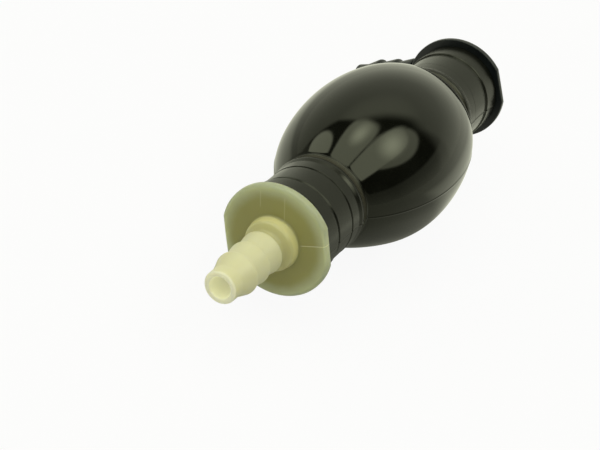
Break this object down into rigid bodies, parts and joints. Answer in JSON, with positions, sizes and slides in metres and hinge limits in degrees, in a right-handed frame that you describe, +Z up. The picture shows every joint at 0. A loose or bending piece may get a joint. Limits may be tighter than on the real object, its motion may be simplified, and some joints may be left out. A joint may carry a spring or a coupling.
{
  "type": "siphon bulb pump",
  "caption": "Hand-squeezed rubber siphon bulb between a straight and an elbowed barbed hose fitting, with a spring-loaded check valve in each neck.",
  "frame": {"origin": "on the pump's axis, in the middle of the length of the straight inlet tail that a hose grips", "axes": "+X along the pump's axis from the inlet tail to the elbow, the way fuel flows; +Z up as the pump lies on its bulb and on the tip of the elbow's tail; the elbow's tail points towards +Y and down"},
  "size_m": [0.1622, 0.0613, 0.05],
  "materials": {
    "bulb_rubber": "smooth, glossy moulded rubber",
    "natural_nylon": "satin, uncoloured nylon",
    "black_nylon": "satin",
    "white_acetal": "satin",
    "seal_rubber": "matt",
    "spring_steel": "drawn stainless wire"
  },
  "bodies": {
    "pump_body": {"squeeze_bulb": "bulb_rubber", "inlet_fitting": "natural_nylon", "outlet_fitting": "black_nylon", "inlet_valve_gasket": "seal_rubber", "inlet_valve_body": "white_acetal", "inlet_valve_spring": "spring_steel", "inlet_spring_spider": "white_acetal", "outlet_valve_gasket": "seal_rubber", "outlet_valve_body": "white_acetal", "outlet_valve_spring": "spring_steel", "outlet_spring_spider": "white_acetal"},
    "inlet_valve_poppet": {"inlet_poppet": "white_acetal", "inlet_poppet_seal": "seal_rubber"},
    "outlet_valve_poppet": {"outlet_poppet": "white_acetal", "outlet_poppet_seal": "seal_rubber"}
  },
  "joints": [
    {"name": "inlet_poppet_slide", "type": "slide", "parent": "pump_body", "child": "inlet_valve_poppet", "axis": [1, 0, 0], "range_m": [0, 0.002], "stiffness_N_per_m": 60, "springref_m": -0.004, "deforming": ["inlet_valve_spring"]},
    {"name": "outlet_poppet_slide", "type": "slide", "parent": "pump_body", "child": "outlet_valve_poppet", "axis": [1, 0, 0], "range_m": [0, 0.002], "stiffness_N_per_m": 60, "springref_m": -0.004, "deforming": ["outlet_valve_spring"]}
  ]
}
